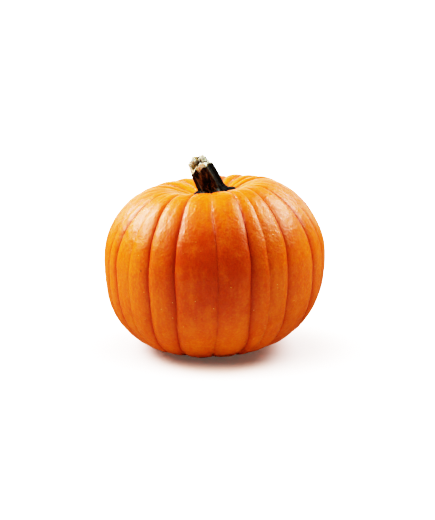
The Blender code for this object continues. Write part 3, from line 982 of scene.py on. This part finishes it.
# across, forward, radius, depth below the rim
woodHollows = [
    (-0.0036, 0.0034, 0.0050, 0.0090),
    (0.0058, 0.0022, 0.0024, 0.0032),
    (-0.0012, -0.0078, 0.0020, 0.0036),
]

# across, forward, radius, height
woodLumps = [
    (0.0030, -0.0030, 0.0034, 0.0022),
    (-0.0072, -0.0040, 0.0024, 0.0012),
]


def onFace(bearing, radius):
    # across and forward from the middle of the torn face
    angle = math.radians(bearing)
    return radius * math.sin(angle), radius * math.cos(angle)


def hollowShares(bearing, radius):
    # for each hollow, 1 in its middle and 0 away from it, with a ragged edge between
    across, forward = onFace(bearing, radius)
    lumps = smoothNoise(Vector((across, forward, 0.0)) / tornEnd["raggedSize"])
    shares = []
    for side, front, reach, _ in woodHollows:
        away = math.hypot(across - side, forward - front) / reach * (1 + tornEnd["hollowRaggedness"] * lumps)
        shares.append(math.exp(-(away ** tornEnd["hollowSteepness"])))
    return shares


def woodTop(bearing, share):
    rim = readOutline(woodRim, bearing)
    middle = sum(height for _, height in woodRim) / len(woodRim)
    height = middle + (rim - middle) * share ** tornEnd["faceCurve"] - tornEnd["faceSink"] * (1 - share)
    radius = share * (stem["radius"] - stem["barkThickness"])
    height -= sum(hollow[3] * held for hollow, held in zip(woodHollows, hollowShares(bearing, radius)))
    across, forward = onFace(bearing, radius)
    for side, front, reach, rise in woodLumps:
        height += rise * math.exp(-(math.hypot(across - side, forward - front) / reach) ** 2)
    return height


def tornWoodMesh():
    # a plug in the bark's socket: its side wall, then the torn face in rings towards the middle
    bearings = [360.0 * i / tornEnd["columns"] for i in range(tornEnd["columns"])]
    radii = [columnRadius(b, 1.0) - stem["barkThickness"] - tornEnd["gap"] for b in bearings]
    tapers = [tornEnd["frontTaper"] * bump(b, 0.0, tornEnd["calmSpread"]) for b in bearings]
    floors = [readOutline(barkEdge, b) - stem["socketDepth"] + 2 * tornEnd["gap"] for b in bearings]
    floor = sum(floors) / len(floors)

    def mapped(bearing, radius, past, torn):
        across, forward = onFace(bearing, radius)
        grain = Vector((across, -forward, past))
        outwards = radius / stem["radius"]
        calm = tornEnd["calmFront"] * bump(bearing, 0.0, tornEnd["calmSpread"]) * outwards
        calm = max([calm] + hollowShares(bearing, radius))
        return placeOnStem(1.0, bearing, radius, past), grain, Vector((torn, outwards, torn * (1 - calm)))

    rings = [[mapped(b, r / 2, (low + floor) / 2, 0.0) for b, r, low in zip(bearings, radii, floors)]]
    for step in np.linspace(0.0, 1.0, tornEnd["sideRings"]):
        rings.append([])
        for b, r, taper, low in zip(bearings, radii, tapers, floors):
            past = low + (woodTop(b, 1.0) - low) * step
            rings[-1].append(mapped(b, r * (1 - taper * step ** 2), past, float(step == 1)))
    for ring in range(tornEnd["faceRings"] - 1, 0, -1):
        share = ring / tornEnd["faceRings"]
        rings.append([mapped(b, r * (1 - taper) * share, woodTop(b, share), 1.0)
                      for b, r, taper in zip(bearings, radii, tapers)])
    top = mapped(0.0, 0.0, woodTop(0.0, 0.0), 1.0)
    bottom = mapped(0.0, 0.0, floor, 0.0)
    return loftMesh("stemTornWood", rings, bottom, top, ("woodMap", "tornFace"))


grainDirection = stemPath(1.0)[1]
woodSizes = {
    "Grain direction": grainDirection,
    "Bundle width": 0.0012,
    "Bundle height": 0.0030,
    "Side fibre depth": 0.0004,
    "Pattern squash": Vector((1.0, 1.0, 0.06)),  # the pattern is drawn out along the grain
}


def tornWoodTree(sizes):
    # breaks the torn face into fibre bundles of uneven length, and lines the wood's side with fibres
    tree, add, given = newTree("broken fibre bundles", sizes)
    grain = add("GeometryNodeInputNamedAttribute", {"Name": "woodMap"}, data_type="FLOAT_VECTOR")
    face = add("GeometryNodeInputNamedAttribute", {"Name": "tornFace"}, data_type="FLOAT_VECTOR")
    face = add("ShaderNodeSeparateXYZ", {0: face}, give="Z")
    flat = add("ShaderNodeVectorMath", {0: grain, 1: given["Pattern squash"]}, operation="MULTIPLY")
    density = add("ShaderNodeMath", {0: 1.0, 1: given["Bundle width"]}, operation="DIVIDE")
    cells = add("ShaderNodeTexVoronoi", {"Vector": flat, "Scale": density}, give="Color")
    height = add("ShaderNodeSeparateXYZ", {0: cells}, give="X")
    height = add("ShaderNodeMath", {0: height, 1: 0.5}, operation="SUBTRACT")
    height = add("ShaderNodeMath", {0: height, 1: given["Bundle height"]}, operation="MULTIPLY")
    height = add("ShaderNodeMath", {0: height, 1: face}, operation="MULTIPLY")
    lift = add("ShaderNodeVectorMath", {0: given["Grain direction"], "Scale": height}, operation="SCALE")
    broken = add("GeometryNodeSetPosition", {"Geometry": given["Geometry"], "Offset": lift})
    fibres = unevenness(add, flat, density, 3.0, given["Side fibre depth"])
    finishTree(add, pushOut(add, broken, fibres), given["Material"])
    return tree


woodFinish = {
    "strands": (0.0006, 0.35, 0.70, 1.0, 3.0, 0.05),  # size, noise levels, share, detail, squash
    "strandColours": ("#FAFCF0", "#F0E8C8"),
    "sideColour": "#F4FBDE",
    "stainSize": 0.0016,  # the stains in the hollows have ragged edges
    "stainReach": 0.004,
    "dried": (1.42, 1.12, "#A88C50"),  # outer and inner edge in a hollow's own radii, colour
    # painted shadow: dark brown on the hollow's back right wall
    "hollowShadow": (1.15, 0.60, "#4A2E14"),
    "hollowShadowPlace": (0.75, 0.60),  # across and back from the hollow's middle, in its own radii
    "stainShare": 0.9,
    "relief": (0.7, 0.0003),  # strength, depth
}


def tornWood():
    # Fresh pumpkin stem wood, torn across: cream fibres, golden where the hollow has dried, and a dark brown
    # painted shadow towards the hollow's back right wall.
    material, add, shader = newMaterial("torn stem wood", {
        "IOR": 1.5,
        "Roughness": 0.8,
        "Specular IOR Level": 0.3,
        "Subsurface Weight": 0.25,
        "Subsurface Radius": (1.0, 0.9, 0.7),
        "Subsurface Scale": 0.001,
    })
    grain = add("ShaderNodeAttribute", attribute_name="woodMap", give="Vector")
    face = add("ShaderNodeAttribute", attribute_name="tornFace", give="Vector")
    face = add("ShaderNodeSeparateXYZ", {0: face}, give="X")
    strand = patternMask(add, grain, *woodFinish["strands"])
    light, dark = map(linear, woodFinish["strandColours"])
    colour = add("ShaderNodeMix", {"Factor": strand, "A": light, "B": dark}, give="Result", data_type="RGBA")
    colour = add("ShaderNodeMix", {"Factor": face, "A": linear(woodFinish["sideColour"]), "B": colour},
                 give="Result", data_type="RGBA")

    # dried golden stains in the hollows, and a dark brown painted shadow towards their back right wall
    flat = add("ShaderNodeVectorMath", {0: grain, 1: (1.0, 1.0, 0.0)}, operation="MULTIPLY")
    ragged = add("ShaderNodeTexNoise", {"Vector": flat, "Scale": 1 / woodFinish["stainSize"], "Detail": 2.0})
    reach = woodFinish["stainReach"]
    ragged = add("ShaderNodeMath", {0: ragged, 1: reach, 2: -reach / 2}, operation="MULTIPLY_ADD")
    aside, behind = woodFinish["hollowShadowPlace"]
    for across, forward, radius, _ in woodHollows:
        hollowShadow = (across + radius * aside, radius * behind - forward, 0.0)
        for stain, middle in (("dried", (across, -forward, 0.0)), ("hollowShadow", hollowShadow)):
            outer, inner, shade = woodFinish[stain]
            away = add("ShaderNodeVectorMath", {0: flat, 1: middle}, operation="DISTANCE", give="Value")
            if stain == "dried":
                away = add("ShaderNodeMath", {0: away, 1: ragged}, operation="ADD")
            limits = {"Value": away, "From Min": radius * outer, "From Max": radius * inner,
                      "To Max": woodFinish["stainShare"]}
            inside = add("ShaderNodeMapRange", limits, interpolation_type="SMOOTHSTEP")
            inside = add("ShaderNodeMath", {0: inside, 1: face}, operation="MULTIPLY")
            colour = add("ShaderNodeMix", {"Factor": inside, "A": colour, "B": linear(shade)},
                         give="Result", data_type="RGBA")
    strength, depth = woodFinish["relief"]
    bumped = add("ShaderNodeBump", {"Height": strand, "Strength": strength, "Distance": depth})
    setInputs(shader, {"Base Color": colour, "Normal": bumped})
    return material


woodMaterial = tornWood()
woodSizes["Material"] = woodMaterial
stemTornWood = newPiece("stemTornWood", tornWoodMesh())
runTree(stemTornWood, tornWoodTree(woodSizes), woodSizes)
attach(stemTornWood, "root")
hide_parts("stem_torn_end")
print("torn wood", len(stemTornWood.data.polygons), "faces")


# Broken fibres that stand out of the torn face, most of them along its rim

splinterSizes = {
    "Density": 260000.0,  # per square metre
    "Length": 0.0046,
    "Thickness": 0.00030,
    "Tilt": 0.55,
    "Rim start": 0.66,
    "Rim full": 0.86,
    "Crowding": 3.0,  # how strongly the fibres crowd where the face is most ragged
    "Least lean": Vector((-1.0, -1.0, -0.2)),
    "Most lean": Vector((1.0, 1.0, 0.2)),
    "Smallest": Vector((0.5, 0.5, 0.25)),  # shares of the full thickness and length
    "Largest": Vector((1.3, 1.3, 1.2)),
    "Grain direction": grainDirection,
    "Material": woodMaterial,
}


def splinterTree(sizes):
    # thin cones on the torn face, along the grain and tilted at random
    tree, add, given = newTree("broken fibres", sizes)
    face = add("GeometryNodeInputNamedAttribute", {"Name": "tornFace"}, data_type="FLOAT_VECTOR")
    face = add("ShaderNodeSeparateXYZ", {0: face}).node
    torn = add("FunctionNodeCompare", {"A": face.outputs["X"], "B": 0.5}, operation="GREATER_THAN")
    rim = add("ShaderNodeMapRange", {"Value": face.outputs["Y"], "From Min": given["Rim start"],
                                     "From Max": given["Rim full"], "To Min": 0.0})
    density = add("ShaderNodeMath", {0: rim, 1: given["Density"]}, operation="MULTIPLY")
    ragged = add("ShaderNodeMath", {0: face.outputs["Z"], 1: given["Crowding"]}, operation="POWER")
    density = add("ShaderNodeMath", {0: density, 1: ragged}, operation="MULTIPLY")
    points = add("GeometryNodeDistributePointsOnFaces",
                 {"Mesh": given["Geometry"], "Selection": torn, "Density": density, "Seed": 4})
    cone = add("GeometryNodeMeshCone", {"Vertices": 5, "Radius Top": 0.0,
                                        "Radius Bottom": given["Thickness"], "Depth": given["Length"]})
    lean = add("FunctionNodeRandomValue", {0: given["Least lean"], 1: given["Most lean"], "Seed": 5},
               data_type="FLOAT_VECTOR")
    lean = add("ShaderNodeVectorMath", {0: lean, "Scale": given["Tilt"]}, operation="SCALE")
    lean = add("ShaderNodeVectorMath", {0: lean, 1: given["Grain direction"]}, operation="ADD")
    turn = add("FunctionNodeAlignRotationToVector", {"Vector": lean}, axis="Z")
    size = add("FunctionNodeRandomValue", {0: given["Smallest"], 1: given["Largest"], "Seed": 6},
               data_type="FLOAT_VECTOR")
    placed = add("GeometryNodeInstanceOnPoints",
                 {"Points": points, "Instance": cone, "Rotation": turn, "Scale": size})
    finishTree(add, placed, given["Material"])
    return tree


tornSplinters = newPiece("tornSplinters", stemTornWood.data.copy())
runTree(tornSplinters, splinterTree(splinterSizes), splinterSizes)
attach(tornSplinters, "root")
print("splinters", len(tornSplinters.data.polygons), "faces")


# Strips of bark that tore further than the rest

shreds = {
    # bearing, start and end past the stem's end, width, how far the tip bends out
    "strips": [
        (-106.0, -0.0050, 0.0072, 0.0030, -0.0014),
        (150.0, 0.0030, 0.0116, 0.0040, 0.0002),
        (134.0, 0.0020, 0.0090, 0.0034, 0.0004),
    ],
    "thickness": 0.0007,
    "proud": 0.0002,  # how far a strip stands off the bark's outer face
    "tipHalfWidth": 0.0002,
    "steps": 9,
}


def barkShredMesh():
    # flat tapering strips that follow the bark's outer face
    bm = bmesh.new()
    for bearing, low, high, width, bend in shreds["strips"]:
        rows = []
        for t in np.linspace(0.0, 1.0, shreds["steps"] + 1):
            half = width / 2 * (1 - t ** 2) + shreds["tipHalfWidth"]
            past = low + (high - low) * t
            row = []
            for side, layer in ((-1, 0), (1, 0), (1, 1), (-1, 1)):
                turn = math.degrees(side * half / stem["radius"])
                outside = columnRadius(bearing, 1.0) + bend * t * t + shreds["proud"]
                radius = outside - layer * shreds["thickness"]
                row.append(bm.verts.new(placeOnStem(1.0, bearing + turn, radius, past)))
            rows.append(row)
        for lower, upper in zip(rows, rows[1:]):
            for i in range(4):
                j = (i + 1) % 4
                bm.faces.new((lower[i], lower[j], upper[j], upper[i]))
        bm.faces.new(rows[0])
        bm.faces.new(rows[-1])
    bmesh.ops.recalc_face_normals(bm, faces=bm.faces)
    mesh = meshFrom(bm, "barkShreds")
    mesh.materials.append(barkMaterial)
    return mesh


barkShreds = newPiece("barkShreds", barkShredMesh())
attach(barkShreds, "root")
print("bark shreds", len(barkShreds.data.polygons), "faces")


# Blossom scar: the corky button that the flower left in the dimple underneath

blossomScar = {
    "place": (-0.0027, 0.0),
    "radius": 0.0042,
    "thickness": 0.0009,
    "roughness": 0.0007,
    "grain": 0.0018,
    "segments": (48, 24),
    "crumbs": (0.0009, 0.35, 0.70, 1.0, 3.0),  # size, noise levels, share, detail
    "colours": ("#8A6A42", "#B89A68"),
}


def blossomScarMesh():
    x, y = blossomScar["place"][0] + fruitShift.x, blossomScar["place"][1] + fruitShift.y
    hit = skin.ray_cast(Vector((x, y, -0.05)), Vector((0.0, 0.0, 1.0)))[0]
    bm = bmesh.new()
    around, upwards = blossomScar["segments"]
    bmesh.ops.create_uvsphere(bm, u_segments=around, v_segments=upwards, radius=1.0)
    radius, thickness = blossomScar["radius"], blossomScar["thickness"]
    for vertex in bm.verts:
        place = Vector((vertex.co.x * radius, vertex.co.y * radius, vertex.co.z * thickness))
        lump = smoothNoise(place / blossomScar["grain"]) * blossomScar["roughness"]
        place += vertex.co * lump
        vertex.co = place + Vector((x, y, hit.z))
    mesh = meshFrom(bm, "blossomScar")
    for polygon in mesh.polygons:
        polygon.use_smooth = True
    return mesh


def driedCork():
    # Dried cork of the old flower: matte, grey-brown and crumbly.
    material, add, shader = newMaterial("dried blossom cork", {"IOR": 1.5, "Roughness": 0.9})
    place = add("ShaderNodeTexCoord", give="Object")
    crumbs = patternMask(add, place, *blossomScar["crumbs"])
    dark, light = map(linear, blossomScar["colours"])
    colour = add("ShaderNodeMix", {"Factor": crumbs, "A": dark, "B": light}, give="Result", data_type="RGBA")
    setInputs(shader, {"Base Color": colour})
    return material


scar = newPiece("blossomScar", blossomScarMesh())
scar.data.materials.append(driedCork())
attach(scar, "root")
print("blossom scar", len(scar.data.polygons), "faces")


# Stage: a white table, softboxes on both sides and a lit white backdrop

studio = {
    "tableSize": 8.0,
    "tableBelow": 0.0002,  # just clear of the fruit's flat spot
    "tableWhite": 0.90,
    "bounce": 0.74,  # how much of its light the table gives back to the fruit
    "gloss": 0.06,  # how much of it shows as a reflection on the skin
    "shadowMiddle": (0.010, -0.013),  # of the shaded ground under the fruit
    "shadowWidening": 1.60,  # how much further it reaches sideways than to the front
    "burntOut": (0.048, 0.112),  # distances over which the table fades to plain white
    "fadeSteepness": 2.0,
    "paperWhite": 1.1,
    "paintedShadowLight": 0.036,  # painted light that glows in the shaded ground
    "paintedShadowTint": "#FFDCCB",  # the orange tint of that painted light in the shadow
    "dimRoom": 0.0125,  # the unlit room on the camera's side
}

# azimuth, elevation, distance, width, height, brightness
softboxes = {
    "left softbox": (-104.0, 43.5, 1.30, 1.08, 0.68, 5.00),
    "right softbox": (108.0, 47.5, 1.30, 1.02, 0.72, 3.35),
    "lit backdrop": (180.0, 14.0, 1.60, 3.20, 0.70, 0.45),
}

# the photograph's contrast: deep shadows, and lights that roll off to white
tone = {
    "contrast": 1.74,
    "middle": 0.125,  # the scene's brightness that comes out half bright
    "points": 24,
}


def addSoftbox(name, azimuth, elevation, distance, width, height, brightness):
    data = bpy.data.lights.new(name, "AREA")
    data.shape = "RECTANGLE"
    data.size, data.size_y = width, height
    data.energy = brightness * math.pi * width * height
    lamp = bpy.data.objects.new(name, data)
    bpy.context.scene.collection.objects.link(lamp)
    around, up = math.radians(azimuth), math.radians(elevation)
    away = Vector((math.sin(around) * math.cos(up), -math.cos(around) * math.cos(up), math.sin(up)))
    lamp.location = Vector(camera["aim"]) + away * distance
    lamp.rotation_euler = away.to_track_quat("Z", "Y").to_euler()
    lamp.visible_camera = False


def whiteTable():
    # White laminate. To the camera it shows its real light near the fruit, with a painted glow added: warm
    # painted light in the shadow, growing to plain white further off.
    material, add, shader = newMaterial("white laminate table", {})
    material.node_tree.nodes.remove(shader)
    shades = []
    for share in (1.0, studio["bounce"], studio["gloss"]):
        white = studio["tableWhite"] * share
        shades.append(add("ShaderNodeBsdfDiffuse", {"Color": (white, white, white, 1.0)}))
    place = add("ShaderNodeTexCoord", give="Object")
    across, forward = studio["shadowMiddle"]
    wide = studio["shadowWidening"]
    around = add("ShaderNodeMapping", {"Vector": place, "Location": (-across / wide, -forward, 0.0),
                                       "Scale": (1 / wide, 1.0, 0.0)})
    distance = add("ShaderNodeVectorMath", {0: around}, operation="LENGTH", give="Value")
    near, far = studio["burntOut"]
    fade = add("ShaderNodeMapRange", {"Value": distance, "From Min": near, "From Max": far})
    white = add("ShaderNodeMath", {0: fade, 1: studio["fadeSteepness"]}, operation="POWER")
    fade = add("ShaderNodeMath", {0: white, 1: studio["paperWhite"], 2: studio["paintedShadowLight"]},
               operation="MULTIPLY_ADD")
    # painted light: a camera-only glow, orange in the shadow and plain white away from the fruit
    tint = add("ShaderNodeMix",
               {"Factor": white, "A": linear(studio["paintedShadowTint"]), "B": linear("#FFFFFF")}, give="Result",
               data_type="RGBA")
    paintedGlow = add("ShaderNodeEmission", {"Color": tint, "Strength": fade})
    shown = add("ShaderNodeAddShader", {0: shades[0], 1: paintedGlow})
    glossy = add("ShaderNodeLightPath", give="Is Glossy Ray")
    unseen = add("ShaderNodeMixShader", {0: glossy, 1: shades[1], 2: shades[2]})
    seen = add("ShaderNodeLightPath", give="Is Camera Ray")
    both = add("ShaderNodeMixShader", {0: seen, 1: unseen, 2: shown})
    setInputs(material.node_tree.nodes["Material Output"], {"Surface": both})
    return material


def setTable():
    bm = bmesh.new()
    bmesh.ops.create_grid(bm, x_segments=1, y_segments=1, size=studio["tableSize"] / 2)
    bmesh.ops.translate(bm, verts=bm.verts, vec=(0.0, 0.0, -studio["tableBelow"]))
    mesh = meshFrom(bm, "table")
    mesh.materials.append(whiteTable())
    newPiece("table", mesh)


def setRoom():
    world = bpy.data.worlds.new("studio")
    bpy.context.scene.world = world
    world.use_nodes = True
    world.node_tree.nodes.clear()
    add = partial(addNode, world.node_tree)
    room, paper = [add("ShaderNodeBackground", {"Color": linear("#FFFFFF"), "Strength": studio[strength]})
                   for strength in ("dimRoom", "paperWhite")]
    seen = add("ShaderNodeLightPath", give="Is Camera Ray")
    both = add("ShaderNodeMixShader", {0: seen, 1: room, 2: paper})
    add("ShaderNodeOutputWorld", {"Surface": both})


def setTone():
    view = bpy.context.scene.view_settings
    view.view_transform = "Standard"
    view.use_curve_mapping = True
    curve = view.curve_mapping.curves[3]
    contrast, middle = tone["contrast"], tone["middle"]
    white = 1 / (1 + middle ** contrast)
    for number in range(1, tone["points"]):
        bright = (number / tone["points"]) ** 2
        curve.points.new(bright, bright ** contrast / (bright ** contrast + middle ** contrast) / white)
    view.curve_mapping.update()


setTable()
setRoom()
setTone()
for name, values in softboxes.items():
    addSoftbox(name, *values)
